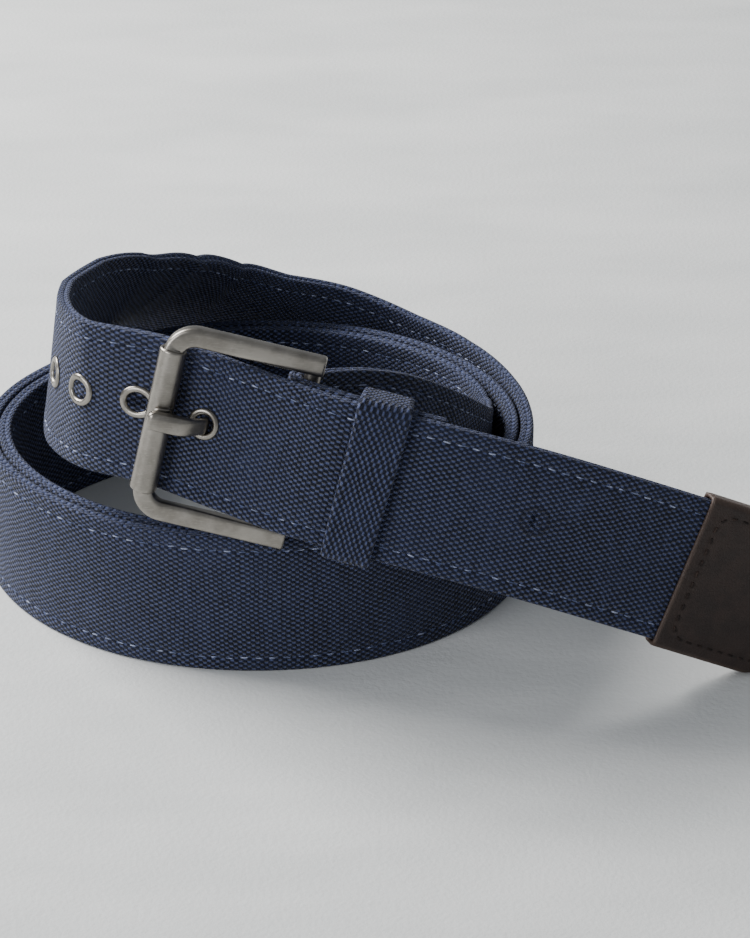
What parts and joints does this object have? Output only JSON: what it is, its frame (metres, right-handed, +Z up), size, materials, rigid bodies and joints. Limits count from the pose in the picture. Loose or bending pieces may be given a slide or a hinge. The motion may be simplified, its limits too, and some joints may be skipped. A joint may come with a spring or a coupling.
{
  "type": "canvas web belt, fastened and coiled",
  "caption": "Coiled canvas web belt with a roller buckle, canvas keeper and leather tip, fastened and resting on its edge.",
  "frame": {"origin": "middle of the footprint, on the surface that the belt's lower edge rests on", "axes": "+X to the right as the buckle's face is seen, towards the tail's tip; +Y from the buckle to the back of the coil; +Z up"},
  "size_m": [0.1972, 0.1482, 0.0857],
  "materials": {
    "canvas": "coarse navy canvas, matt",
    "leather": "dark brown smooth leather, burnished edges",
    "pewter": "satin antique pewter, worn lighter at its edges"
  },
  "bodies": {
    "root": {"web_strap": "canvas", "keeper_loop": "canvas", "leather_tip": "leather", "buckle_frame": "pewter", "roller": "pewter", "prong": "pewter", "eyelet_1": "pewter", "eyelet_2": "pewter", "eyelet_3": "pewter", "eyelet_4": "pewter"}
  },
  "joints": []
}
